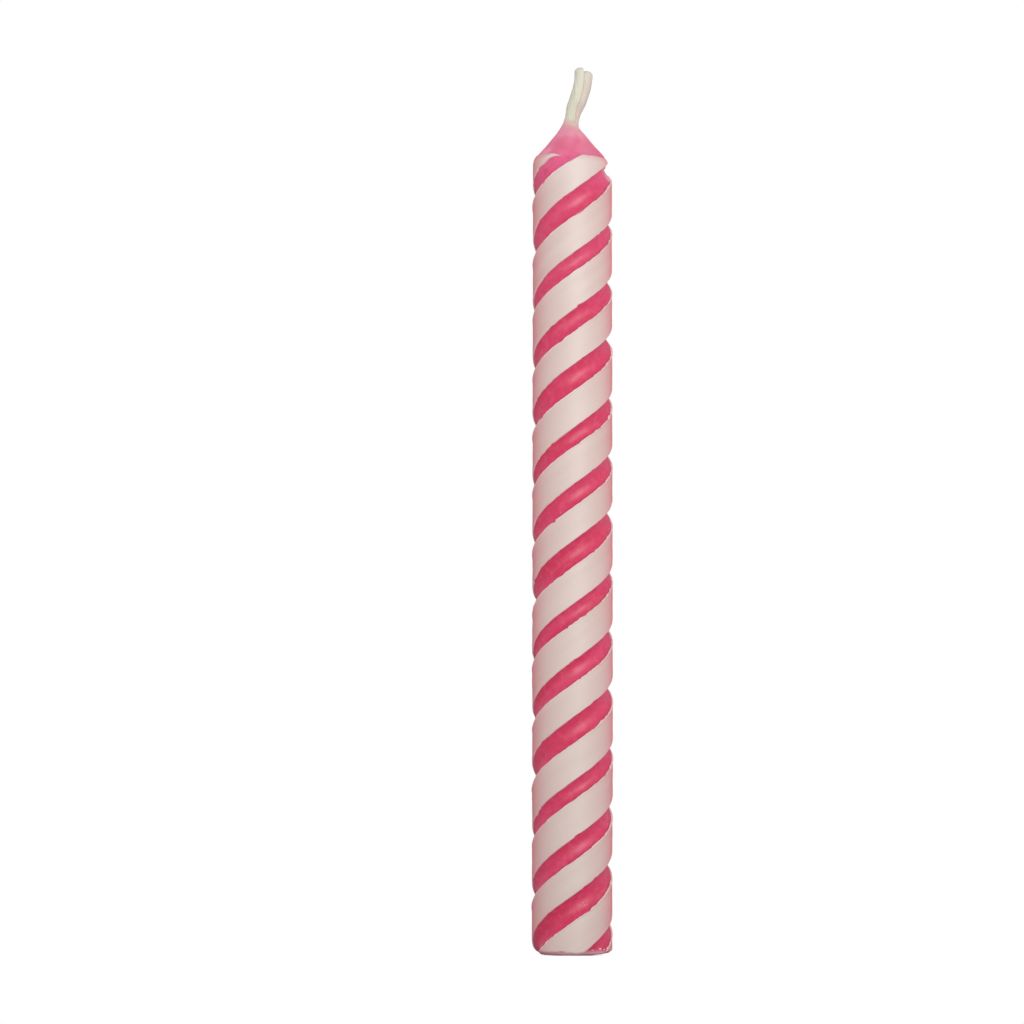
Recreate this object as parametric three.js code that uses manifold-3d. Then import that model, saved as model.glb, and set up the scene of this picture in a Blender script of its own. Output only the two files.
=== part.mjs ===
// Spiral birthday candle: a pink wax rod with three twisted flutes, a thin white
// wax coat on each of its three crests, and a cotton wick of three plies.
//
// Millimetres, +Z up along the candle. The origin is the centre of the flat base,
// and the front of the candle faces -Y.

import * as THREE from 'three';
import { mergeVertices } from 'three/addons/utils/BufferGeometryUtils.js';
import Module from 'manifold-3d';

// ---------------------------------------------------------------- dimensions

const WICK_TOP = 63.5;             // overall height, base to the wick's cut end
const BASE_RADIUS = 2.93;          // over the white coat, at the base
const SHOULDER_RADIUS = 2.87;      // over the white coat, where the tip cone starts
const SHOULDER_Z = 56.43;          // height of the shoulder below the tip cone
const BASE_EDGE = 0.25;            // rounding of the base's edge

const COAT_THICKNESS = 0.13;       // white coat with its seat on the pink crest
const COAT_GAP = 0.015;            // seat between the coat and the crest
const COAT_START_Z = 0.25;         // the coat stops short of the base

const PITCH = 12.48;               // one full turn of a flute, right-handed
const FLUTE_ON_FRONT_Z = 32.34;    // the first flute's middle crosses the front line here

// The three flutes differ a little. Each has the place of its middle, in degrees
// round the rod from the first, its width round the rod in degrees, and its depth
// from the coat's outside to its floor.
const FLUTES = [
  { at: 0, width: 45, depth: 0.4 },
  { at: 119.8, width: 38.4, depth: 0.34 },
  { at: 242.3, width: 52.5, depth: 0.48 },
];
const STEP_ANGLE = 18;             // twist of one layer, degrees
const CREST_SEGMENTS = 4;
const FLUTE_SEGMENTS = 4;

// the trimmed tip cone, as radius and height, ending in a thin rim round the wick
const TIP_PROFILE = [
  [3.38, 55.94], [2.93, 56.44], [2.56, 56.9], [2.31, 57.19], [2.04, 57.48],
  [1.76, 57.76], [1.26, 58.33], [1.02, 58.62], [0.82, 58.9], [0.71, 59.15],
];

const BORE_RADIUS = 0.6;           // the channel that the wick fills
const PLY_COUNT = 3;
const PLY_RADIUS = 0.25;           // one ply where the wax holds it
const PLY_ORBIT = 0.3;             // the ply's middle from the wick's middle
const PLY_END_RADIUS = 0.305;      // one ply at the loose top, where it opens out
const PLY_END_ORBIT = 0.365;
const OPEN_Z = 61.6;               // the plies are fully open from here up
const PLY_TWIST = -10.3;           // degrees for each millimetre up, left-handed
const PLY_SIDES = 8;
const PLY_BOTTOM_Z = 0.3;          // the wick is cut just inside the base
const PLY_HELD_TOP_Z = 59.0;       // the wax holds the plies up to here

const BEND_Z = 59.6;               // the wick's loose end bends about this height
const BEND_RADIUS = 0.56;          // the loose end is rounded about that point

// middle line of the wick where it leaves the wax: x and z, in the plane of y = 0
const WICK_LINE = [
  [0, 58.2], [0, 59.0], [-0.01, 59.6], [0.05, 60.3], [0.2, 60.75], [0.395, 61.2],
  [0.59, 61.75], [0.73, 62.3], [0.8, 62.9], [0.825, WICK_TOP],
];

// ---------------------------------------------------------------- materials

const pinkWax = new THREE.MeshStandardMaterial({ color: 0xd9487c, roughness: 0.38, metalness: 0 });
const whiteWax = new THREE.MeshStandardMaterial({ color: 0xeadfd6, roughness: 0.5, metalness: 0 });
const cotton = new THREE.MeshStandardMaterial({ color: 0xdcd8c2, roughness: 0.9, metalness: 0 });

// ---------------------------------------------------------------- helpers

const wasm = await Module();
wasm.setup();

const rad = THREE.MathUtils.degToRad;
const lerp = THREE.MathUtils.lerp;
const polar = (r, degrees) => new THREE.Vector2(r * Math.cos(rad(degrees)), r * Math.sin(rad(degrees)));

function toSolid(geometry) {
  const bare = geometry.clone();
  bare.deleteAttribute('normal');
  bare.deleteAttribute('uv');
  const merged = mergeVertices(bare, 1e-5);
  return new wasm.Manifold(new wasm.Mesh({
    numProp: 3,
    vertProperties: new Float32Array(merged.attributes.position.array),
    triVerts: Uint32Array.from(merged.index.array),
  }));
}

function toGeometry(solid) {
  const mesh = solid.getMesh();
  const geometry = new THREE.BufferGeometry();
  geometry.setAttribute('position', new THREE.BufferAttribute(Float32Array.from(mesh.vertProperties), 3));
  geometry.setIndex(new THREE.BufferAttribute(Uint32Array.from(mesh.triVerts), 1));
  geometry.computeVertexNormals();
  return geometry;
}

// Radius over the white coat at a height: the rod is slightly thicker at its base.
const coatRadius = (z) => lerp(BASE_RADIUS, SHOULDER_RADIUS, z / SHOULDER_Z);

// Angle of a flute's middle at a height, degrees from +X.
const fluteAngle = (z) => -90 + (360 * (z - FLUTE_ON_FRONT_Z)) / PITCH;

// Twists an upright prism whose section is drawn at unit scale. The section is
// mirrored as it is turned, so each side face splits along its upright diagonal
// and lies close to the true round crest.
function twist(geometry, radiusAt) {
  const p = geometry.attributes.position;
  for (let i = 0; i < p.count; i++) {
    const x = p.getX(i), y = p.getY(i), z = p.getZ(i);
    const turn = rad(fluteAngle(z)), r = radiusAt(z);
    p.setXYZ(
      i,
      r * (x * Math.cos(turn) + y * Math.sin(turn)),
      r * (x * Math.sin(turn) - y * Math.cos(turn)),
      z,
    );
  }
  // mirroring turned the faces inside out: swap two corners of each
  for (let i = 0; i < p.count; i += 3) {
    const b = [p.getX(i + 1), p.getY(i + 1), p.getZ(i + 1)];
    p.setXYZ(i + 1, p.getX(i + 2), p.getY(i + 2), p.getZ(i + 2));
    p.setXYZ(i + 2, ...b);
  }
  return geometry;
}

function twistedPrism(shape, bottom, layers, radiusAt) {
  const depth = (layers * PITCH * STEP_ANGLE) / 360;
  const prism = new THREE.ExtrudeGeometry(shape, { depth, steps: layers, bevelEnabled: false });
  prism.translate(0, 0, bottom);
  return twist(prism, radiusAt);
}

function turned(profile, segments) {
  return new THREE.LatheGeometry(profile.map(([r, z]) => new THREE.Vector2(r, z)), segments)
    .rotateX(Math.PI / 2);
}

// ---------------------------------------------------------------- wax body

const crestScale = (BASE_RADIUS - COAT_THICKNESS) / BASE_RADIUS;

// Where crest n starts and ends round the rod, between its two flutes, in degrees.
function crest(n) {
  const before = FLUTES[n], after = FLUTES[(n + 1) % FLUTES.length];
  const turn = n + 1 === FLUTES.length ? 360 : 0;
  return { from: before.at + before.width / 2, to: after.at + turn - after.width / 2 };
}

// Section of the rod: three flutes, each a hollow arc, and three round crests.
function rodSection() {
  const points = [];
  FLUTES.forEach(({ at, width, depth }, n) => {
    const lip = polar(crestScale, width / 2);
    const floor = (BASE_RADIUS - depth) / BASE_RADIUS;
    // the circle through both lips and the floor of a flute centred on +X
    const cx = (lip.x ** 2 + lip.y ** 2 - floor ** 2) / (2 * (lip.x - floor));
    const arcRadius = cx - floor;
    const sweep = Math.atan2(lip.y, cx - lip.x);
    for (let i = 0; i < FLUTE_SEGMENTS; i++) {
      const a = lerp(-sweep, sweep, i / FLUTE_SEGMENTS);
      const arc = new THREE.Vector2(cx - arcRadius * Math.cos(a), arcRadius * Math.sin(a));
      points.push(arc.rotateAround(new THREE.Vector2(), rad(at)));
    }
    const { from, to } = crest(n);
    for (let i = 0; i < CREST_SEGMENTS; i++) points.push(polar(crestScale, lerp(from, to, i / CREST_SEGMENTS)));
  });
  return new THREE.Shape(points);
}

// The outside that the rod is trimmed to: a flat base with a rounded edge, and
// the tip cone.
function trimProfile(bottom, edge) {
  const profile = [[0, bottom]];
  if (edge > 0) {
    const r = BASE_RADIUS * crestScale;
    for (let i = 0; i <= 3; i++) {
      const a = rad(30 * i);
      profile.push([r - edge + edge * Math.sin(a), bottom + edge - edge * Math.cos(a)]);
    }
    profile.push([3.4, bottom + edge + 0.35]);
  } else {
    profile.push([3.4, bottom]);
  }
  return [...profile, ...TIP_PROFILE, [0, TIP_PROFILE.at(-1)[1]]];
}

const rodLayers = Math.ceil((TIP_PROFILE.at(-1)[1] + 2.2) / ((PITCH * STEP_ANGLE) / 360));
const rod = toSolid(twistedPrism(rodSection(), -1.1, rodLayers, coatRadius));
const bore = toSolid(turned([[0, -1], [BORE_RADIUS, -1], [BORE_RADIUS, 61], [0, 61]], 16));
const waxBody = rod
  .intersect(toSolid(turned(trimProfile(0, BASE_EDGE), 40)))
  .subtract(bore);

// ---------------------------------------------------------------- white coat

// The coat on one crest: a sector of the rod over the pink crest, less the crest
// itself grown by the seat's gap.
function stripe(n) {
  const from = crest(n).from + 0.5, to = crest(n).to - 0.5;
  const points = [];
  for (let i = 0; i <= CREST_SEGMENTS; i++) points.push(polar(1, lerp(from, to, i / CREST_SEGMENTS)));
  for (let i = 2; i >= 0; i--) points.push(polar(0.8, lerp(from, to, i / 2)));
  const sector = toSolid(twistedPrism(new THREE.Shape(points), -1.1, rodLayers, coatRadius));
  const grow = 1 + COAT_GAP / (BASE_RADIUS * crestScale);
  const grown = toSolid(twistedPrism(rodSection(), -1.1, rodLayers, (z) => coatRadius(z) * grow));
  return sector
    .subtract(grown)
    .intersect(toSolid(turned(trimProfile(COAT_START_Z, 0), 40)));
}

// ---------------------------------------------------------------- wick

const wickLine = new THREE.CatmullRomCurve3(WICK_LINE.map(([x, z]) => new THREE.Vector3(x, 0, z)));
const lineStart = WICK_LINE[0][1];
const lineEnd = WICK_LINE.at(-1)[1];

// Middle point and direction of the wick at a height.
function wickAt(z) {
  if (z <= lineStart) return { at: new THREE.Vector3(0, 0, z), up: new THREE.Vector3(0, 0, 1) };
  let low = 0, high = 1;
  for (let i = 0; i < 30; i++) {
    const t = (low + high) / 2;
    if (wickLine.getPoint(t).z < z) low = t; else high = t;
  }
  return { at: wickLine.getPoint(high), up: wickLine.getTangent(Math.min(high, 0.999)) };
}

// One ply between two heights: an eight-sided rod laid along the wick's middle
// line, turning about it with its fellows.
function ply(n, bottom, top, steps) {
  const section = new THREE.Shape(
    Array.from({ length: PLY_SIDES }, (_, i) => polar(1, (360 * (i + 0.5)) / PLY_SIDES)),
  );
  const geometry = new THREE.ExtrudeGeometry(section, { depth: 1, steps, bevelEnabled: false });
  const p = geometry.attributes.position;
  const across = new THREE.Vector3(), deep = new THREE.Vector3(0, 1, 0);
  for (let i = 0; i < p.count; i++) {
    const z = lerp(bottom, top, p.getZ(i));
    const { at, up } = wickAt(z);
    across.crossVectors(deep, up).normalize();
    const open = THREE.MathUtils.smoothstep(z, BEND_Z, OPEN_Z);
    const orbit = lerp(PLY_ORBIT, PLY_END_ORBIT, open);
    const r = lerp(PLY_RADIUS, PLY_END_RADIUS, open);
    const angle = rad(-30 + (360 / PLY_COUNT) * n + PLY_TWIST * (z - 63.3));
    const u = orbit * Math.cos(angle) + r * p.getX(i);
    const v = orbit * Math.sin(angle) + r * p.getY(i);
    at.addScaledVector(across, u).addScaledVector(deep, v);
    p.setXYZ(i, at.x, at.y, at.z);
  }
  return geometry;
}

// The loose end keeps to a ball about the bend below it, so that it can turn
// there without touching the held plies or the rim.
const looseSpace = () => {
  const profile = [];
  for (let i = 0; i <= 4; i++) {
    const a = rad(22.5 * i);
    profile.push([BEND_RADIUS * Math.sin(a), BEND_Z - BEND_RADIUS * Math.cos(a)]);
  }
  return toSolid(turned([...profile, [3, BEND_Z + 0.02], [3, 65], [0, 65]], 16));
};

const PLY_TOPS = [WICK_TOP - 0.3, WICK_TOP - 0.2, WICK_TOP - 0.02];   // right, rear and left ply

// ---------------------------------------------------------------- assembly

const candle = new THREE.Group();
candle.name = 'birthday_candle';

function add(parent, name, geometry, material) {
  const mesh = new THREE.Mesh(geometry, material);
  mesh.name = name;
  parent.add(mesh);
  return mesh;
}

const wax = new THREE.Group();
add(wax, 'wax_body', toGeometry(waxBody), pinkWax.clone());
for (let n = 0; n < FLUTES.length; n++) {
  add(wax, `white_stripe_${n + 1}`, toGeometry(stripe(n)), whiteWax.clone());
}

const heldWick = new THREE.Group();
for (let n = 0; n < PLY_COUNT; n++) {
  add(heldWick, `wick_ply_${n + 1}`, ply(n, PLY_BOTTOM_Z, PLY_HELD_TOP_Z, 20), cotton.clone());
}

const looseWick = new THREE.Group();
for (let n = 0; n < PLY_COUNT; n++) {
  const whole = toSolid(ply(n, BEND_Z - 0.7, PLY_TOPS[n], 14));
  add(looseWick, `wick_end_ply_${n + 1}`, toGeometry(whole.intersect(looseSpace())), cotton.clone());
}

candle.add(wax, heldWick, looseWick);

export default candle;
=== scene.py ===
import math

import bpy
import numpy as np
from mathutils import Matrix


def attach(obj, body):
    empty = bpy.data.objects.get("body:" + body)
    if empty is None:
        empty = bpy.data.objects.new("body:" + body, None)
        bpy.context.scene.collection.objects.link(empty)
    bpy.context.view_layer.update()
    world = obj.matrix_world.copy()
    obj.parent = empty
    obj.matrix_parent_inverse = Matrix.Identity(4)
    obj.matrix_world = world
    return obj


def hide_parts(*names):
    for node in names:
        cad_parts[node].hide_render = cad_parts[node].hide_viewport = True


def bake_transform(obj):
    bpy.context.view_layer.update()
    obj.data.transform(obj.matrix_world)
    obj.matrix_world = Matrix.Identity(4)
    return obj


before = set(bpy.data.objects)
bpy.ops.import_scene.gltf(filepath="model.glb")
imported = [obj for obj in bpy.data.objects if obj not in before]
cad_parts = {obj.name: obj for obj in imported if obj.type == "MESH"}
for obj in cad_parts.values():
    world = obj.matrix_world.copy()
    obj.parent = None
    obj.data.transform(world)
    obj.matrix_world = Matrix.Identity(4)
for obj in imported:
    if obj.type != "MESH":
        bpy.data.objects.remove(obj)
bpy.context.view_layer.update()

# Lengths below are millimetres until a mesh is made.
MM = 0.001

# ------------------------------------------------------------------ the rod
R_BASE, R_SHOULDER, Z_SHOULDER = 2.885, 2.83, 56.43   # over the white coat
PITCH, FRONT_Z = 12.482, 32.34                       # the first flute crosses the front line here
COAT = 0.07                                          # how far the white coat stands proud

# flutes: middle (degrees round the rod from the first), half width, depth
FLUTES = [(0.0, 22.5, 0.40), (117.7, 26.25, 0.48), (240.2, 19.2, 0.34)]

TIP = np.array([[55.94, 3.38], [56.44, 2.92], [56.9, 2.51], [57.19, 2.25], [57.48, 1.985], [57.76, 1.73],
                [58.33, 1.26], [58.62, 1.02], [58.9, 0.82], [59.15, 0.71]])
TIP_LEAN = 0.145                                     # the cone's middle lies this far to the left
BORE = 0.58


def rod_radius(z):
    return R_BASE + (R_SHOULDER - R_BASE) * np.clip(z / Z_SHOULDER, 0, 1.03)


def turn_at(z):
    """Angle of the first flute's middle at a height, degrees from +X."""
    return -90 + 360 * (z - FRONT_Z) / PITCH


# ------------------------------------------------------------------ noise
def table(seed):
    return np.random.default_rng(seed).uniform(-1, 1, 8192)


def wave(x, seed):
    """Smooth noise along a line, -1 to 1."""
    t = table(seed)
    x = np.asarray(x, float)
    i = np.floor(x).astype(np.int64)
    f = x - i
    f = f * f * (3 - 2 * f)
    return t[i % 8192] * (1 - f) + t[(i + 1) % 8192] * f


def cloud(x, y, z, seed):
    """Smooth noise in space, -1 to 1."""
    t = table(seed)
    x, y, z = np.broadcast_arrays(np.asarray(x, float), np.asarray(y, float), np.asarray(z, float))
    ix, iy, iz = (np.floor(v).astype(np.int64) for v in (x, y, z))
    fx, fy, fz = x - ix, y - iy, z - iz
    fx, fy, fz = (v * v * (3 - 2 * v) for v in (fx, fy, fz))
    out = 0
    for dx in (0, 1):
        for dy in (0, 1):
            for dz in (0, 1):
                h = ((ix + dx) * 73856093) ^ ((iy + dy) * 19349663) ^ ((iz + dz) * 83492791)
                w = (fx if dx else 1 - fx) * (fy if dy else 1 - fy) * (fz if dz else 1 - fz)
                out = out + w * t[h & 8191]
    return out


def step(x, a=0.0, b=1.0):
    t = np.clip((np.asarray(x, float) - a) / (b - a), 0, 1)
    return t * t * (3 - 2 * t)


def soft_min(a, b, k):
    h = np.maximum(k - np.abs(a - b), 0) / k
    return np.minimum(a, b) - h * h * k / 4


def hermite(x, points):
    """Smooth curve through (x, y) points."""
    px, py = points[:, 0], points[:, 1]
    m = np.gradient(py, px)
    i = np.clip(np.searchsorted(px, x) - 1, 0, len(px) - 2)
    h = px[i + 1] - px[i]
    t = np.clip((x - px[i]) / h, 0, 1)
    return ((2 * t**3 - 3 * t**2 + 1) * py[i] + (t**3 - 2 * t**2 + t) * h * m[i]
            + (-2 * t**3 + 3 * t**2) * py[i + 1] + (t**3 - t**2) * h * m[i + 1])


# ------------------------------------------------------------------ the pink surface
def base_corner(phi):
    """Rounding of the base's edge, largest at the left, and the lift of the rim from the floor."""
    x = np.cos(np.radians(phi))
    left, right = np.clip(-x, 0, 1), np.clip(x, 0, 1)
    c = 0.15 + 0.50 * left**2.5 + 0.20 * right**3 + 0.02 * wave(phi / 24 + 40, 3)
    lift = 0.01 + 0.04 * np.clip((left - 0.1) / 0.9, 0, 1) ** 1.8 + 0.15 * np.clip((right - 0.45) / 0.55, 0, 1) ** 1.8
    return c, lift + 0.012 * (1 + wave(phi / 11 + 7, 4))


def scooped(phi):
    """How far a slip of the trimming knife reaches here, 0 to 1: it took the shoulder off at the right."""
    side = (phi + 180) % 360 - 180
    return step(side, -12, 6) * (1 - step(side, 70, 105))


def notch_line(phi, z):
    """How far to the right the wax reaches where the knife slipped: the cut rises slightly to the back."""
    z = z - 0.21 * np.sin(np.radians(phi))
    return 2.24 + 0.62 * np.clip(56.07 - z, 0, 9) + 1.0 * np.clip(z - 56.1, 0, 0.25) - 0.6 * np.clip(z - 56.5, 0, 0.3)


def coat_edge(n, upper, z):
    """How far an edge of the coat after flute n draws back from its line, in mm across the rod."""
    seed = (200 if upper else 300) + 10 * n
    fine = 0.036 if upper else 0.024
    e = 0.032 * wave(z / 1.9, seed) + 0.032 * wave(z / 0.62, seed + 1) + fine * wave(z / 0.19, seed + 2)
    e = e + 0.5 * fine * wave(z / 0.085, seed + 3)
    rng = np.random.default_rng(seed + 4)
    for _ in range(54 if upper else 40):
        at, deep, wide = rng.uniform(0.5, 56.5), rng.uniform(0.03, 0.13), rng.uniform(0.05, 0.17)
        side = 1 if rng.random() < 0.7 else -0.7
        e = e + side * deep * np.clip(1 - np.abs(z - at) / wide, 0, 1) ** 0.7
    return e


ROUND_MM = math.pi / 180 * 2.87      # millimetres across the rod in one degree


def pink_radius(a, z):
    """Radius of the pink wax at local angle a (degrees from the first flute) and height z."""
    a, z = np.broadcast_arrays(np.asarray(a, float), np.asarray(z, float))
    R = rod_radius(z)
    crest = R - COAT
    out = crest.copy()
    for n, (mid, half, depth) in enumerate(FLUTES):
        psi = (a - mid + 180) % 360 - 180
        d = depth + 0.03 * wave(z / 3.1 + 11 * n, 20 + n) + 0.012 * wave(z / 0.9, 30 + n)
        w = half + 0.8 * wave(z / 4.3 + 5 * n, 24 + n)
        floor = R - d
        lx = crest * np.cos(np.radians(w))
        cx = (crest**2 - floor**2) / (2 * (lx - floor))
        rho = cx - floor
        s = np.sin(np.radians(np.clip(psi, -80, 80)))
        inside = rho**2 - (cx * s) ** 2
        r = np.where((np.abs(psi) < 60) & (inside > 0),
                     cx * np.cos(np.radians(psi)) - np.sqrt(np.maximum(inside, 0)), 9.0)
        # the lip under the upper coat is rounder than the lip above the lower coat
        k = np.where(psi < 0, 0.08, 0.04)
        out = soft_min(out, r, k)
        # a fine furrow where the wax meets the coat's upper edge
        gap = (half - psi) * ROUND_MM + coat_edge(n, True, z)
        out = out - 0.014 * np.exp(-((gap - 0.04) / 0.05) ** 2)
    # soft dents and drawn lines that follow the flutes
    ca, sa = np.cos(np.radians(a)) * R, np.sin(np.radians(a)) * R
    out = out + 0.012 * cloud(ca / 0.9, sa / 0.9, z / 2.4, 50) + 0.005 * cloud(ca / 0.28, sa / 0.28, z / 1.6, 51)
    # the tip cone
    phi = turn_at(z) + a
    cp, sp = np.cos(np.radians(phi)), np.sin(np.radians(phi))
    cone = hermite(z, TIP) - TIP_LEAN * cp * step(z, 55.7, 56.7) + 0.02 * cloud(cp * 1.6, sp * 1.6, z / 0.9, 52) + 0.008 * cloud(cp * 6, sp * 6, z / 0.3, 53)
    out = np.where(z > 55.0, soft_min(out, np.where(z > 55.95, cone, 3.4 - (z - 55.94)), 0.3), out)
    side = (phi + 180) % 360 - 180
    scoop = notch_line(phi, z) / np.cos(np.radians(np.clip(side, -62, 22))) + 1.2 * step(side, 60, 100)
    out = np.where(z > 54.5, soft_min(out, scoop, 0.15), out)
    # the foot is a little flatter at the right
    out = out - 0.065 * np.clip(cp, 0, 1) ** 2 * (1 - step(z, 3, 17))
    # the base's rounded edge
    c, lift = base_corner(phi)
    under = np.clip(c - (z - lift), 0, c)
    out = out - (c - np.sqrt(np.maximum(c**2 - under**2, 0)))
    return out


def to_xyz(a, z, r):
    phi = np.radians(turn_at(z) + a)
    return np.stack([r * np.cos(phi), r * np.sin(phi), np.broadcast_to(z, np.shape(r))], -1)


def make_mesh(name, verts, faces, attributes=None, smooth=True):
    """A mesh object in the row frame. verts in mm."""
    me = bpy.data.meshes.new(name)
    me.from_pydata((np.asarray(verts) * MM).tolist(), [], [list(map(int, f)) for f in faces])
    me.validate()
    me.update()
    if smooth:
        me.polygons.foreach_set("use_smooth", [True] * len(me.polygons))
    for key, values in (attributes or {}).items():
        values = np.asarray(values, float)
        kind = "FLOAT" if values.ndim == 1 else "FLOAT_VECTOR"
        layer = me.attributes.new(key, kind, "POINT")
        layer.data.foreach_set("value" if kind == "FLOAT" else "vector", values.ravel())
    ob = bpy.data.objects.new(name, me)
    bpy.context.scene.collection.objects.link(ob)
    return ob


def grid_faces(rows, cols, wrap_rows=False, wrap_cols=True, start=0, flip=False):
    i = np.arange(rows if wrap_rows else rows - 1)[:, None]
    j = np.arange(cols if wrap_cols else cols - 1)[None]
    i2, j2 = (i + 1) % rows, (j + 1) % cols
    quad = np.stack(np.broadcast_arrays(i * cols + j, i * cols + j2, i2 * cols + j2, i2 * cols + j), -1).reshape(-1, 4) + start
    return quad[:, ::-1] if flip else quad


# ------------------------------------------------------------------ wick line
WICK_LINE = np.array([[57.0, 0], [58.2, -0.03], [59.0, -0.08], [59.6, -0.07], [60.3, 0.04], [60.75, 0.20], [61.2, 0.395],
                      [61.75, 0.59], [62.3, 0.73], [62.9, 0.80], [63.5, 0.825]])
PLY_TWIST = -10.3


def ply_angle(n, z):
    return -30 + 120 * n + PLY_TWIST * (z - 63.3)


def meniscus_top(phi):
    return 59.42 - 0.27 * np.cos(np.radians(phi - 12)) + 0.05 * wave(phi / 33 + 3, 61)


def meniscus_ring(phi):
    return 0.53 - 0.08 * np.cos(np.radians(phi)) + 0.015 * np.cos(np.radians(3 * (phi - ply_angle(0, 59.4))))


# ------------------------------------------------------------------ wax rod
def rod_columns():
    cols = []
    for n, (mid, half, _) in enumerate(FLUTES):
        lips = [3.4, 1.9, 0.9, 0.2, -0.5, -1.2, -2.2, -3.6, -5.4]
        cols += [mid - half - d for d in lips] + [mid + half + d for d in lips[::-1]]
        inner = np.linspace(mid - half + 5.4, mid + half - 5.4, 12)[1:-1]
        cols += inner.tolist()
        nxt = FLUTES[(n + 1) % 3]
        end = nxt[0] + (360 if n == 2 else 0) - nxt[1]
        cols += np.linspace(mid + half + 3.4, end - 3.4, 15)[1:-1].tolist()
    return np.array(sorted(c % 360 for c in cols))


def wax_rod():
    A = rod_columns()
    rows = []

    def add(r, z):
        r = np.broadcast_to(np.asarray(r, float), A.shape)
        z = np.broadcast_to(np.asarray(z, float), A.shape)
        rows.append(np.stack([r, z], -1))

    def phi_of(z):
        return (turn_at(z) + A + 180) % 360 - 180

    # inside the channel, upwards to downwards, then under the base
    for z in np.linspace(58.4, 0.6, 9):
        add(BORE, z)
    add(BORE, 0.22)
    add(BORE + 0.02, 0.06)
    add(BORE + 0.09, 0.0)
    phi0 = phi_of(0.3)
    c, lift = base_corner(phi0)
    zc = lift
    rim = pink_radius(A, lift + c) - c
    for q in np.linspace(0.08, 1, 14):
        r = BORE + 0.09 + (rim - BORE - 0.09) * q
        z = lift * step(r, 1.3, rim) + 0.012 * np.maximum(0, cloud(r / 0.4 * np.cos(np.radians(phi0)), r / 0.4 * np.sin(np.radians(phi0)), 0.5, 70))
        add(r, z)
    for beta in np.radians([12, 25, 38, 52, 66, 78, 90]):
        z = lift + c * (1 - np.cos(beta))
        add(pink_radius(A, z), z)
    start = lift + c
    for s in np.linspace(0, 1, 6)[1:]:
        z = start + (1.08 - start) * s
        add(pink_radius(A, z), z)
    for z in np.arange(1.2, 55.6, 0.1):
        add(pink_radius(A, z), z)
    for z in np.arange(55.65, 58.66, 0.05):
        add(pink_radius(A, z), z)
    # wax drawn up round the wick
    zs = rows[-1][0, 1]
    r0 = pink_radius(A, zs)
    for t in np.linspace(0, 1, 16)[1:]:
        zt = zs + (59.4 - zs) * t
        phi = phi_of(zt)
        z = zs + (meniscus_top(phi) - zs) * t
        ring = meniscus_ring(phi)
        add(ring + (r0 - ring) * (1 - t) ** 1.4, z)
    phi = phi_of(59.4)
    add(meniscus_ring(phi) - 0.02, meniscus_top(phi) + 0.008)
    add(meniscus_ring(phi) - 0.04, meniscus_top(phi) - 0.02)
    add(meniscus_ring(phi) - 0.02, meniscus_top(phi) - 0.14)
    P = np.array(rows)
    r, z = P[..., 0], P[..., 1]
    verts = to_xyz(A[None], z, r)
    flow = np.stack([r * np.cos(np.radians(A))[None], r * np.sin(np.radians(A))[None], z * 0.14], -1)
    faces = grid_faces(len(rows), len(A), wrap_rows=True, flip=False)
    # painted shade: this mask darkens the pink in a thin line along the crease where it meets the coat's upper edge
    line = np.zeros(r.shape)
    for n, (mid, half, _) in enumerate(FLUTES):
        psi = (A[None] - mid + 180) % 360 - 180
        gap = (half - psi) * ROUND_MM + coat_edge(n, True, z)
        line = np.maximum(line, np.exp(-(np.maximum(gap, 0) / 0.11) ** 2) * (np.abs(psi) < 60) * (r > 2.2) * (z < 57) * (1 - 0.6 * step(z, 54.6, 56.2)))
    side = np.radians(turn_at(z) + A[None])
    haze = 0.30 + 0.20 * wave(np.degrees(side) / 17 + 900, 640) + 0.08 * wave(z / 0.45, 641) + 0.42 * step(z, 57.9, 58.6)
    turned = (np.degrees(side) + 180) % 360 - 180
    # a thin smear of the white coat, dragged onto the cone by the knife
    haze = haze + 0.65 * step(np.abs((turned + 158 + 180) % 360 - 180), 32, 18) * step(z, 56.5, 56.8) * (1 - step(z + 0.12 * wave(turned / 5 + 60, 642), 57.25, 57.6))
    facet = step(r * np.cos(side) - notch_line(turned, z), -0.42, -0.05) * (1 - step(turned, 50, 80)) * step(z, 54.95, 55.3) * (1 - step(z, 56.2, 56.4)) * (np.abs(turned) < 110)
    return make_mesh("wax_rod", verts.reshape(-1, 3), faces,
                     {"flow": flow.reshape(-1, 3) * MM, "line": line.ravel(), "haze": haze.ravel(), "facet": facet.ravel(),
                      "climb": (z - meniscus_top(turn_at(z) + A[None])).ravel()})


# ------------------------------------------------------------------ white coats
# crumbs of white wax that stick to the pink: angle round the candle, height, size in mm
CRUMBS = [
    [(-42, 0.45, 0.11), (-35, 0.41, 0.07), (-28, 0.48, 0.12), (-20, 0.44, 0.08), (-14, 0.55, 0.10), (-57, 0.36, 0.05)],
    [(-70, 3.52, 0.04), (-66, 3.60, 0.034), (-73, 3.72, 0.03), (-152, 0.72, 0.05), (75, 0.62, 0.07), (88, 0.50, 0.05)],
    [(-158, 0.60, 0.045), (152, 0.48, 0.06), (163, 0.56, 0.05), (40, 7.9, 0.04), (120, 20.4, 0.045), (-110, 31.2, 0.03)],
]


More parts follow.
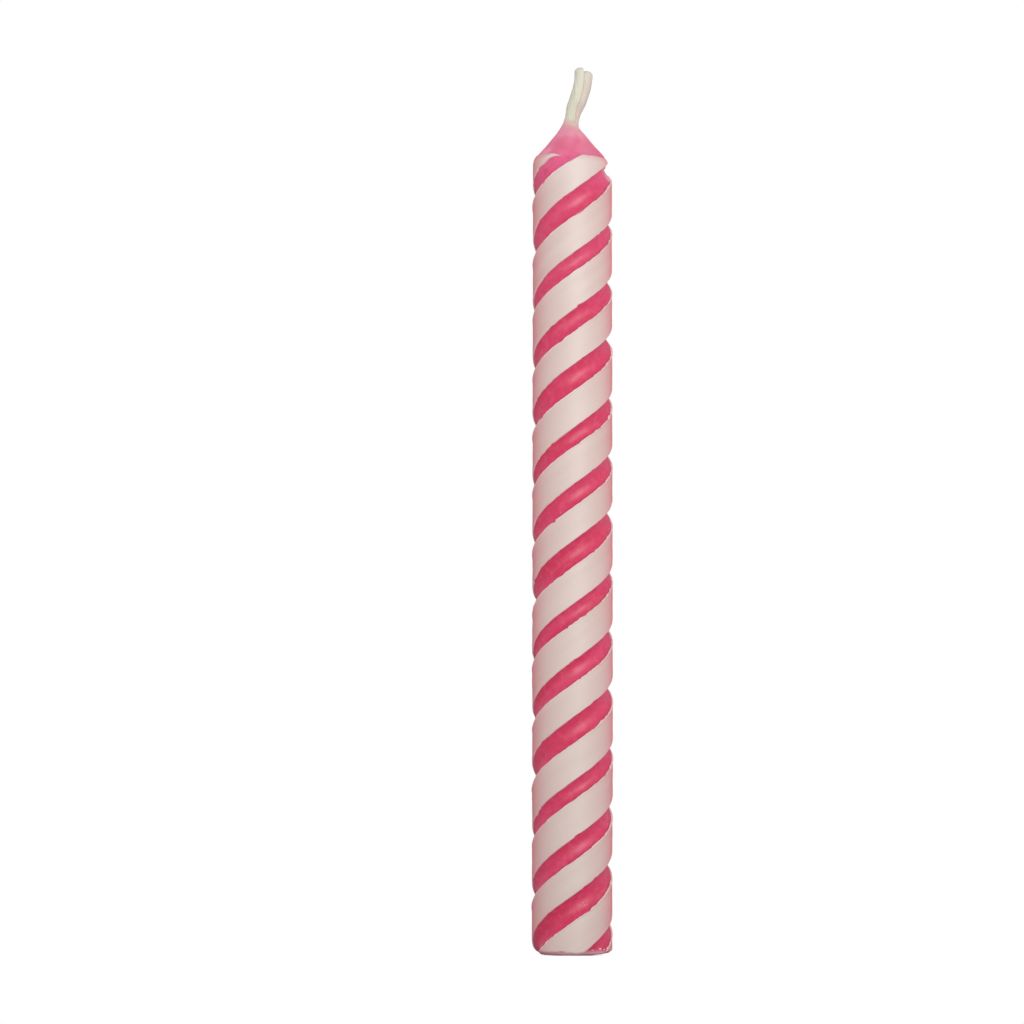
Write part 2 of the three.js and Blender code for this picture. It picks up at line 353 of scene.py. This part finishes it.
def crumb(phi, z, size, start):
    """A small closed lump that sits on the pink wax."""
    rows, cols = 7, 12
    up, round_ = np.meshgrid(np.linspace(0, math.pi, rows), np.arange(cols) * 2 * math.pi / cols, indexing="ij")
    lump = 1 + 0.28 * cloud(np.cos(round_) * np.sin(up) * 1.7, np.sin(round_) * np.sin(up) * 1.7, np.cos(up) * 1.7 + phi, 700)
    out, across, tall = (size * lump * v for v in (0.45 * np.cos(up), 1.25 * np.sin(up) * np.cos(round_), 0.8 * np.sin(up) * np.sin(round_)))
    seat = pink_radius(phi - turn_at(z), z) + 0.1 * size
    c, s = math.cos(math.radians(phi)), math.sin(math.radians(phi))
    xyz = np.stack([(seat + out) * c - across * s, (seat + out) * s + across * c, z + tall], -1)
    quads = grid_faces(rows, cols, start=start).tolist()
    # the poles are rings of one point: the faces there are triangles
    verts = xyz.reshape(-1, 3)
    keep = np.concatenate([[0], np.arange(cols, (rows - 1) * cols), [(rows - 1) * cols]])
    place = {**{i: 0 for i in range(cols)}, **{i: i - cols + 1 for i in range(cols, (rows - 1) * cols)},
             **{i: (rows - 2) * cols + 1 for i in range((rows - 1) * cols, rows * cols)}}
    faces = []
    for q in quads:
        f = []
        for i in q:
            k = place[i - start] + start
            if k not in f:
                f.append(k)
        faces.append(f)
    return verts[keep], faces


def white_coat(n):
    """The coat on the crest between flute n and the next one round the rod."""
    mid, half, _ = FLUTES[n]
    nxt = FLUTES[(n + 1) % 3]
    lo = mid + half                                        # its upper edge, seen from the front
    hi = nxt[0] + (360 if n == 2 else 0) - nxt[1]          # its lower edge
    deg = 1 / ROUND_MM
    width = (hi - lo) / deg
    near_lo = [0, 0.008, 0.02, 0.035, 0.055, 0.085, 0.13, 0.2, 0.3, 0.44]
    near_hi = [0, 0.01, 0.025, 0.045, 0.07, 0.1, 0.14, 0.2, 0.3, 0.44]
    inner = np.linspace(0.62, width - 0.62, 9)
    D = np.array(near_lo + inner.tolist() + [width - d for d in near_hi[::-1]])
    Z = np.concatenate([np.linspace(0.3, 1.1, 21)[:-1], np.arange(1.1, 55.7, 0.042), np.linspace(55.7, 57.0, 34)])
    z = Z[:, None] + 0 * D[None]
    e_lo = coat_edge(n, True, z)
    e_hi = coat_edge(n, False, z)
    if n == 2:                                             # a tongue of the coat runs on over the flute at the cut
        e_hi = e_hi - 0.2 * step(z, 55.9, 56.3) - 0.45 * np.clip((z - 56.6) / 0.4, 0, 1) ** 1.2
    d_lo, d_hi = D[None] + 0 * z, width - D[None] + 0 * z
    shift = e_lo * np.exp(-d_lo / 0.3) - e_hi * np.exp(-d_hi / 0.3)
    a = lo + (D[None] + shift) * deg
    # ends of the coat: over the shoulder, and just above the base
    phi = turn_at(z) + a
    west = step(-np.cos(np.radians(phi - 10)), 0.45, 0.9)
    top = 56.72 + 0.30 * west - 1.2 * scooped(phi) + 0.06 * wave(phi / 23 + 5 * n, 401) + 0.03 * wave(phi / 6 + n, 402)
    right = np.clip(np.cos(np.radians(phi + 15)), 0, 1)
    _, lift = base_corner(phi)
    bottom = lift + 0.17 + 0.06 * wave(phi / 15 + 3 * n, 403) + (0.03 + 0.06 * right) * wave(phi / 4.5 + n, 404)
    z = np.where(z > 55.7, 55.7 + (z - 55.7) * (top - 55.7) / (57.0 - 55.7), z)
    z = np.where(z < 1.1, 1.1 - (1.1 - z) * (1.1 - bottom) / (1.1 - 0.3), z)
    a = a - (turn_at(z) - turn_at(Z[:, None]))             # keep to the same place round the rod
    pink = pink_radius(a, z)
    f_lo = np.sqrt(np.maximum(0, 1 - (1 - np.clip(d_lo / 0.045, 0, 1)) ** 2))
    f_hi = step(d_hi, -0.012, 0.08)
    f_top = np.sqrt(np.maximum(0, 1 - (1 - np.clip((Z[-1] - Z[:, None]) * 1.4 / 0.08, 0, 1)) ** 2))
    f_bot = np.sqrt(np.maximum(0, 1 - (1 - np.clip((Z[:, None] - Z[0]) / 0.07, 0, 1)) ** 2))
    # the raised rim along the coat's upper edge; the same mask also paints a painted highlight on that rim in the
    # material
    raised_rim_and_highlight = np.exp(-(((d_lo - 0.055) / 0.07) ** 2)) * np.clip(0.8 + 0.5 * wave(z / 0.4, 410 + n), 0.15, 1.2)
    rim = 0.034 * raised_rim_and_highlight
    skin = 0.007 * cloud(pink * np.cos(np.radians(a)) / 0.8, pink * np.sin(np.radians(a)) / 0.8, z / 1.1, 420)
    thick = (COAT + skin + rim) * f_lo * f_hi * f_top * f_bot
    outer = to_xyz(a, z, pink + thick - 0.004)
    inset = 0.028
    pick = [0, 4, 7, 9, 12, 14, 16, 19, 22, 25, len(D) - 1]
    inner_xyz = to_xyz(a[:, pick], z[:, pick], pink[:, pick] - inset)
    ring = np.concatenate([outer, inner_xyz[:, ::-1]], 1)   # closed ring at each height
    rows, cols = ring.shape[:2]
    faces = grid_faces(rows, cols, wrap_cols=True, flip=True).tolist()
    M, K = len(D), len(pick)
    for row, flip in ((0, False), (rows - 1, True)):
        # the ends: join the outer line to the inner line
        base = row * cols
        up = [base + i for i in range(M)]
        down = [base + cols - 1 - i for i in range(K)]      # same direction as up
        i = j = 0
        while i < M - 1 or j < K - 1:
            take_outer = j == K - 1 or (i < M - 1 and i + 1 <= pick[j + 1] if j < K - 1 else True)
            if take_outer:
                tri = [up[i], up[i + 1], down[j]]
                i += 1
            else:
                tri = [up[i], down[j + 1], down[j]]
                j += 1
            faces.append(tri if flip else tri[::-1])
    # painted shade: this mask darkens the coat towards its lower edge, which faces down
    lower_edge_shade = np.concatenate([np.exp(-d_hi / 0.06), np.zeros((rows, K))], 1)
    ends = np.clip(1.25 * (1 - f_top) + 0.7 * step(z, 56.2, 57.0) * west + 0.3 * (1 - f_bot), 0, 1)
    ends = np.concatenate([ends, np.zeros((rows, K))], 1)
    raised_rim_and_highlight = np.concatenate([raised_rim_and_highlight, np.zeros((rows, K))], 1)
    ra = pink
    flow = np.stack([ra * np.cos(np.radians(a)), ra * np.sin(np.radians(a)), z * 0.14], -1)
    flow = np.concatenate([flow, flow[:, pick][:, ::-1]], 1)
    verts, flow = ring.reshape(-1, 3), flow.reshape(-1, 3)
    raised_rim_and_highlight, lower_edge_shade, ends = raised_rim_and_highlight.ravel(), lower_edge_shade.ravel(), ends.ravel()
    for phi, z, size in CRUMBS[n]:
        blob, quads = crumb(phi, z, size, len(verts))
        verts, flow = np.concatenate([verts, blob]), np.concatenate([flow, blob * [1, 1, 0.14]])
        raised_rim_and_highlight, lower_edge_shade, ends = (np.concatenate([v, np.full(len(blob), k)]) for v, k in ((raised_rim_and_highlight, 0.5), (lower_edge_shade, 0.0), (ends, 0.0)))
        faces += quads
    return make_mesh(f"white_coat_{n + 1}", verts, faces, {"rim": raised_rim_and_highlight, "lower_edge_shade": lower_edge_shade, "ends": ends, "flow": flow * MM})


# ------------------------------------------------------------------ wick
STRANDS = 9
PLY_TOPS = [63.22, 63.32, 63.485]


def wick_yarn(n):
    N = 96
    al = np.arange(N) * 360 / N
    top, dome = PLY_TOPS[n], 0.34
    Zr = np.concatenate([[0.1, 0.12, 0.2], np.arange(1.2, 58.4, 1.2), np.arange(58.5, top - dome, 0.035)])

    def ply_surface(z, al, squeeze=1.0):
        opened = step(z, 59.3, 61.2)
        orbit = 0.18 + 0.03 * opened
        r = 0.35 + 0.12 * opened
        th = np.radians(ply_angle(n, z))
        lay = al + 46 * (z - 58) + 14 * wave(z / 1.3, 500 + n)
        s = np.abs(np.sin(np.radians(lay * STRANDS / 2)))
        strand_id = np.floor(lay * STRANDS / 360).astype(int) % STRANDS
        puff = table(510 + n)[strand_id] * 0.014
        ridge = (s ** 0.55 - 0.75) * 0.034 + puff * s
        fuzz = 0.008 * cloud(np.cos(np.radians(lay)) * 9, np.sin(np.radians(lay)) * 9, z / 0.2, 520 + n)
        swell = 0.014 * wave(z / 0.7, 530 + n)
        shown = step(z, 58.6, 59.5)
        rr = r + (swell + ridge + fuzz) * shown
        # pressed flat where the plies touch each other
        e = np.radians(al)
        for turn in (150, -150):
            cos = np.maximum(np.cos(e - th - math.radians(turn)), 1e-3)
            rr = soft_min(rr, np.minimum((0.866 * orbit - 0.002) / cos, 9), 0.045)
        rr = rr * squeeze
        u = orbit * np.cos(th) + rr * np.cos(e)
        v = orbit * np.sin(th) + rr * np.sin(e)
        cx = hermite(z, WICK_LINE) * (z > 57.0)
        slope = (hermite(z + 0.02, WICK_LINE) - hermite(z - 0.02, WICK_LINE)) / 0.04 * (z > 57.0) * (z < 63.45)
        c, s_ = 1 / np.sqrt(1 + slope**2), slope / np.sqrt(1 + slope**2)
        # across the wick, square to its line
        return np.stack([cx + u * c, v + 0 * z, z - u * s_], -1), lay

    body, lay = ply_surface(Zr[:, None] + 0 * al[None], al[None])
    parts, lays = [body], [np.stack([np.cos(np.radians(lay)) * 0.28, np.sin(np.radians(lay)) * 0.28,
                                     (Zr[:, None] + 0 * lay) * 0.12], -1)]
    # the cut top: a blunt rounded tuft, its strands ending at slightly different heights
    sid = np.floor(lay[-1] * STRANDS / 360).astype(int) % STRANDS
    drop = table(540 + n)[sid] * 0.03
    for t in np.radians([12, 25, 38, 50, 60, 68, 75, 80, 84, 87.5]):
        sq, dz = math.cos(t) ** 0.9, dome * math.sin(t)
        zt = (Zr[-1] + dz + drop * math.sin(t) * sq)[None]
        cap, l2 = ply_surface(zt, al[None], sq)
        tuft = 0.022 * cloud(np.cos(np.radians(al[None])) * sq * 4, np.sin(np.radians(al[None])) * sq * 4, 0.3, 550 + n)
        cap[..., 2] = np.minimum(cap[..., 2] + tuft * math.sin(t), 63.494)
        parts.append(cap)
        lays.append(np.stack([np.cos(np.radians(l2)) * 0.28 * sq, np.sin(np.radians(l2)) * 0.28 * sq,
                              zt * 0.12 + (1 - sq) * 0.1], -1))
    P, L = np.concatenate(parts, 0), np.concatenate(lays, 0)
    rows = len(P)
    faces = grid_faces(rows, N).tolist()
    faces.append([j for j in range(N)][::-1])
    faces.append([(rows - 1) * N + j for j in range(N)])
    return make_mesh(f"wick_yarn_{n + 1}", P.reshape(-1, 3), faces, {"lay": L.reshape(-1, 3) * MM})


rod = wax_rod()
coats = [white_coat(n) for n in range(3)]
yarns = [wick_yarn(n) for n in range(3)]


# ------------------------------------------------------------------ materials
def material(name):
    m = bpy.data.materials.new(name)
    m.use_nodes = True
    m.node_tree.nodes.clear()
    t = m.node_tree
    out = t.nodes.new("ShaderNodeOutputMaterial")
    bsdf = t.nodes.new("ShaderNodeBsdfPrincipled")
    t.links.new(bsdf.outputs[0], out.inputs[0])
    return m, t, bsdf


def node(t, kind, **values):
    n = t.nodes.new(kind)
    for key, value in values.items():
        if hasattr(n, key):
            setattr(n, key, value)
        else:
            n.inputs[key].default_value = value
    return n


def noise(t, vector, scale, detail=3.0, rough=0.5):
    n = t.nodes.new("ShaderNodeTexNoise")
    n.inputs["Scale"].default_value = scale
    n.inputs["Detail"].default_value = detail
    n.inputs["Roughness"].default_value = rough
    t.links.new(vector, n.inputs["Vector"])
    return n.outputs["Fac"]


def remap(t, value, a, b, c=0.0, d=1.0, smooth=True):
    n = t.nodes.new("ShaderNodeMapRange")
    n.interpolation_type = "SMOOTHSTEP" if smooth else "LINEAR"
    n.clamp = True
    for key, v in (("From Min", a), ("From Max", b), ("To Min", c), ("To Max", d)):
        n.inputs[key].default_value = v
    t.links.new(value, n.inputs["Value"])
    return n.outputs["Result"]


def mix(t, fac, a, b, mode="MIX"):
    n = t.nodes.new("ShaderNodeMix")
    n.data_type = "RGBA"
    n.blend_type = mode
    n.clamp_factor = True
    if hasattr(fac, "links"):
        t.links.new(fac, n.inputs[0])
    else:
        n.inputs[0].default_value = fac
    for socket, v in ((n.inputs[6], a), (n.inputs[7], b)):
        if hasattr(v, "links"):
            t.links.new(v, socket)
        else:
            socket.default_value = (*v, 1.0)
    return n.outputs[2]


def attribute(t, name, vector=False):
    n = t.nodes.new("ShaderNodeAttribute")
    n.attribute_name = name
    return n.outputs["Vector" if vector else "Fac"]


def object_point(t):
    n = t.nodes.new("ShaderNodeTexCoord")
    return n.outputs["Object"]


def height(t, point):
    n = t.nodes.new("ShaderNodeSeparateXYZ")
    t.links.new(point, n.inputs[0])
    return n.outputs["Z"]


def bump(t, bsdf, *layers):
    """layers of (height output, strength, distance)."""
    last = None
    for value, strength, distance in layers:
        n = t.nodes.new("ShaderNodeBump")
        n.inputs["Strength"].default_value = strength
        n.inputs["Distance"].default_value = distance
        t.links.new(value, n.inputs["Height"])
        if last is not None:
            t.links.new(last, n.inputs["Normal"])
        last = n.outputs["Normal"]
    t.links.new(last, bsdf.inputs["Normal"])


def pink_wax():
    m, t, b = material("pink_wax")
    p = object_point(t)
    z = height(t, p)
    flow = attribute(t, "flow", True)
    base = mix(t, remap(t, noise(t, flow, 900, 3), 0.35, 0.7), (0.800, 0.016, 0.114), (0.850, 0.034, 0.160))
    # painted light: the pink is painted lighter towards the top, and more magenta there; near the shoulder it goes over
    # to a paler tone
    base = mix(t, remap(t, z, 0.040, 0.0545, 0.0, 0.42), base, (0.87, 0.090, 0.255))
    base = mix(t, remap(t, z, 0.0542, 0.0568, 0.0, 0.95), base, (0.96, 0.15, 0.37))
    streak = remap(t, noise(t, flow, 3600, 4, 0.6), 0.5, 0.8, 0.0, 0.30)
    base = mix(t, streak, base, (0.84, 0.12, 0.24))
    mottle = noise(t, p, 2300, 3, 0.55)
    base = mix(t, remap(t, mottle, 0.48, 0.68, 0.0, 0.42), base, (0.91, 0.11, 0.24))
    base = mix(t, remap(t, mottle, 0.47, 0.30, 0.0, 0.42), base, (0.70, 0.008, 0.09))
    base = mix(t, remap(t, attribute(t, "facet"), 0.1, 0.9, 0.0, 0.85), base, (1.0, 0.56, 0.62))
    # the cut cone is paler, and the wax thins to peach where it climbs the wick
    cone = mix(t, remap(t, noise(t, p, 1100, 3), 0.35, 0.7), (0.855, 0.145, 0.290), (0.885, 0.195, 0.350))
    cone = mix(t, remap(t, attribute(t, "haze"), 0.12, 0.9, 0.0, 0.9), cone, (0.98, 0.40, 0.56))
    # painted shade: a dark line painted into the pink along the crease under the coat's upper edge
    line = remap(t, attribute(t, "line"), 0.1, 0.9, 0.0, 0.5)
    base = mix(t, line, base, (0.30, 0.010, 0.036))
    base = mix(t, remap(t, z, 0.05655, 0.05705), base, cone)
    climb = attribute(t, "climb")
    base = mix(t, remap(t, climb, -0.95, -0.35, 0.0, 0.8), base, (0.80, 0.44, 0.43))
    base = mix(t, remap(t, climb, -0.5, -0.05, 0.0, 0.9), base, (0.78, 0.65, 0.55))
    # painted light: the wax is painted paler near the base, lifting the shade where the candle meets the floor
    base = mix(t, remap(t, z, 0.00046, 0.00018, 0.0, 0.95), base, (0.82, 0.40, 0.47))
    t.links.new(base, b.inputs["Base Color"])
    rough = remap(t, noise(t, flow, 2300, 4, 0.6), 0.3, 0.75, 0.36, 0.54)
    t.links.new(rough, b.inputs["Roughness"])
    b.inputs["IOR"].default_value = 1.44
    b.inputs["Specular IOR Level"].default_value = 1.0
    t.links.new(remap(t, climb, -0.9, -0.25, 0.45, 0.0), b.inputs["Subsurface Weight"])
    b.inputs["Diffuse Roughness"].default_value = 1.0
    b.inputs["Coat Weight"].default_value = 0.5
    b.inputs["Coat Roughness"].default_value = 0.55
    b.inputs["Sheen Weight"].default_value = 1.0
    b.inputs["Sheen Roughness"].default_value = 0.45
    b.inputs["Sheen Tint"].default_value = (1.0, 0.10, 0.26, 1.0)
    b.inputs["Subsurface Radius"].default_value = (1.0, 0.22, 0.30)
    b.inputs["Subsurface Scale"].default_value = 0.0010
    bump(t, b, (noise(t, flow, 2200, 3, 0.5), 0.28, 0.00006), (noise(t, p, 7000, 3, 0.6), 0.25, 0.00002))
    return m


def white_wax():
    m, t, b = material("white_wax")
    p = object_point(t)
    flow = attribute(t, "flow", True)
    base = mix(t, remap(t, noise(t, flow, 700, 3), 0.35, 0.7), (0.815, 0.744, 0.668), (0.842, 0.778, 0.704))
    base = mix(t, remap(t, noise(t, p, 1500, 4, 0.6), 0.55, 0.85, 0.0, 0.35), base, (0.81, 0.68, 0.62))
    # painted light: the coat is painted lighter towards its top
    base = mix(t, remap(t, height(t, p), 0.0530, 0.0562, 0.0, 0.6), base, (0.88, 0.83, 0.765))
    base = mix(t, remap(t, attribute(t, "ends"), 0.2, 1.0, 0.0, 0.6), base, (0.80, 0.48, 0.50))
    # painted highlight: the coat's raised upper rim is painted near white
    base = mix(t, remap(t, attribute(t, "rim"), 0.1, 0.8, 0.0, 1.0), base, (1.0, 0.95, 0.88))
    # painted shade along the coat's lower edge
    base = mix(t, remap(t, attribute(t, "lower_edge_shade"), 0.4, 1.0, 0.0, 0.35), base, (0.68, 0.62, 0.54))
    t.links.new(base, b.inputs["Base Color"])
    rough = remap(t, noise(t, flow, 1900, 4, 0.6), 0.3, 0.75, 0.38, 0.50)
    t.links.new(rough, b.inputs["Roughness"])
    b.inputs["IOR"].default_value = 1.44
    b.inputs["Specular IOR Level"].default_value = 0.8
    b.inputs["Sheen Weight"].default_value = 1.0
    b.inputs["Sheen Roughness"].default_value = 0.7
    b.inputs["Sheen Tint"].default_value = (1.0, 0.04, 0.14, 1.0)
    bump(t, b, (noise(t, flow, 1700, 4, 0.6), 0.35, 0.00005), (noise(t, p, 6500, 3, 0.6), 0.4, 0.00002))
    return m


def cotton(n):
    m, t, b = material(f"wick_cotton_{n + 1}")
    p = object_point(t)
    z = height(t, p)
    lay = attribute(t, "lay", True)
    tints = [((0.72, 0.62, 0.525), (0.79, 0.69, 0.59)), ((0.76, 0.70, 0.57), (0.82, 0.77, 0.64)), ((0.73, 0.72, 0.57), (0.81, 0.80, 0.65))]
    a, c = tints[n]
    base = mix(t, remap(t, noise(t, lay, 6000, 4, 0.65), 0.35, 0.7), a, c)
    base = mix(t, remap(t, noise(t, p, 1600, 3), 0.5, 0.8, 0.0, 0.5), base, (0.80, 0.68, 0.56))
    base = mix(t, remap(t, z, 0.05985, 0.0591, 0.0, 0.85), base, (0.80, 0.60, 0.52))
    base = mix(t, remap(t, z, 0.0618, 0.0630, 0.0, 0.4), base, (0.86, 0.83, 0.74))
    t.links.new(base, b.inputs["Base Color"])
    b.inputs["Roughness"].default_value = 0.8
    b.inputs["Sheen Weight"].default_value = 0.25
    b.inputs["Sheen Roughness"].default_value = 0.5
    bump(t, b, (noise(t, lay, 14000, 4, 0.7), 0.6, 0.00002), (noise(t, p, 20000, 2, 0.6), 0.3, 0.00001))
    return m


rod.data.materials.append(pink_wax())
white = white_wax()
for c in coats:
    c.data.materials.append(white)
for n, y in enumerate(yarns):
    y.data.materials.append(cotton(n))

# ------------------------------------------------------------------ bodies
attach(rod, "candle")
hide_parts("wax_body")
# the crest after flute n, counterclockwise, is this CAD stripe
for c, name in zip(coats, ("white_stripe_3", "white_stripe_2", "white_stripe_1")):
    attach(c, "candle")
    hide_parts(name)
for n, y in enumerate(yarns):
    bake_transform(y)
    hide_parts(f"wick_ply_{n + 1}", f"wick_end_ply_{n + 1}")


# ------------------------------------------------------------------ stage, light, camera
def floor():
    rings = [0.0, 0.01, 0.03, 0.08, 0.2, 0.5, 1.2, 2.6]
    verts, faces, N = [(0, 0, 0)], [], 96
    for r in rings[1:]:
        verts += [(r * math.cos(2 * math.pi * i / N), r * math.sin(2 * math.pi * i / N), 0) for i in range(N)]
    faces += [(0, 1 + i, 1 + (i + 1) % N) for i in range(N)]
    for k in range(len(rings) - 2):
        a, b = 1 + k * N, 1 + (k + 1) * N
        faces += [(a + i, b + i, b + (i + 1) % N, a + (i + 1) % N) for i in range(N)]
    me = bpy.data.meshes.new("floor")
    me.from_pydata(verts, [], faces)
    ob = bpy.data.objects.new("floor", me)
    ob.location.z = -0.00001
    bpy.context.scene.collection.objects.link(ob)
    m = bpy.data.materials.new("floor")
    m.use_nodes = True
    t = m.node_tree
    t.nodes.clear()
    out = t.nodes.new("ShaderNodeOutputMaterial")
    diffuse = t.nodes.new("ShaderNodeBsdfDiffuse")
    glow = t.nodes.new("ShaderNodeEmission")
    glow.inputs["Strength"].default_value = 1.0
    length = t.nodes.new("ShaderNodeVectorMath")
    length.operation = "LENGTH"
    t.links.new(object_point(t), length.inputs[0])
    far = remap(t, length.outputs["Value"], 0.0019, 0.0027)
    path = t.nodes.new("ShaderNodeLightPath")
    near = remap(t, length.outputs["Value"], 0.01, 0.12, 0.56, 0.88)
    grey = t.nodes.new("ShaderNodeMapRange")
    t.links.new(path.outputs["Is Camera Ray"], grey.inputs["Value"])
    t.links.new(near, grey.inputs["To Min"])
    grey.inputs["To Max"].default_value = 0.98
    t.links.new(grey.outputs["Result"], diffuse.inputs["Color"])
    both = t.nodes.new("ShaderNodeMath")
    both.operation = "MULTIPLY"
    t.links.new(far, both.inputs[0])
    t.links.new(path.outputs["Is Camera Ray"], both.inputs[1])
    mixer = t.nodes.new("ShaderNodeMixShader")
    t.links.new(both.outputs[0], mixer.inputs[0])
    t.links.new(diffuse.outputs[0], mixer.inputs[1])
    t.links.new(glow.outputs[0], mixer.inputs[2])
    t.links.new(mixer.outputs[0], out.inputs[0])
    me.materials.append(m)


def area(name, at, aim, size, power, colour=(1, 1, 1)):
    data = bpy.data.lights.new(name, "AREA")
    data.shape = "DISK"
    data.size = size
    data.energy = power
    data.color = colour
    ob = bpy.data.objects.new(name, data)
    ob.location = at
    d = np.array(aim, float) - np.array(at, float)
    from mathutils import Vector
    ob.rotation_euler = Vector(d).to_track_quat("-Z", "Y").to_euler()
    bpy.context.scene.collection.objects.link(ob)
    return ob


floor()
area("front", (0.0, -0.20, 0.12), (0, 0, 0.045), 0.10, 0.094)
area("key", (0.105, -0.26, 0.10), (0, 0, 0.032), 0.15, 0.18)

world = bpy.data.worlds.new("studio")
bpy.context.scene.world = world
world.use_nodes = True
t = world.node_tree
t.nodes.clear()
out = t.nodes.new("ShaderNodeOutputWorld")
seen = t.nodes.new("ShaderNodeBackground")
seen.inputs["Color"].default_value = (1, 1, 1, 1)
seen.inputs["Strength"].default_value = 1.0
lit = t.nodes.new("ShaderNodeBackground")
lit.inputs["Color"].default_value = (1, 1, 1, 1)
lit.inputs["Strength"].default_value = 0.50
path = t.nodes.new("ShaderNodeLightPath")
mixer = t.nodes.new("ShaderNodeMixShader")
t.links.new(path.outputs["Is Camera Ray"], mixer.inputs[0])
t.links.new(lit.outputs[0], mixer.inputs[1])
t.links.new(seen.outputs[0], mixer.inputs[2])
t.links.new(mixer.outputs[0], out.inputs[0])

FOCAL, DISTANCE, TILT, AIM_Z, AXIS_PX, ROLL = 4843.0, 345.0, 5.0, 31.45, 572.1, -0.05
cam = bpy.data.cameras.new("camera")
cam.sensor_width = 36
cam.lens = 36 * FOCAL / 1024
cam.clip_start, cam.clip_end = 0.01, 20
eye = bpy.data.objects.new("camera", cam)
eye.location = (-(AXIS_PX - 512) * DISTANCE / FOCAL * MM, -DISTANCE * math.cos(math.radians(TILT)) * MM,
                (AIM_Z - DISTANCE * math.sin(math.radians(TILT))) * MM)
eye.rotation_mode = "XYZ"
eye.rotation_euler = (math.radians(90 + TILT), math.radians(ROLL), 0)
bpy.context.scene.collection.objects.link(eye)
bpy.context.scene.camera = eye

view = bpy.context.scene.view_settings
view.view_transform = "Standard"
view.look = "None"
view.exposure, view.gamma = 0.0, 1.0
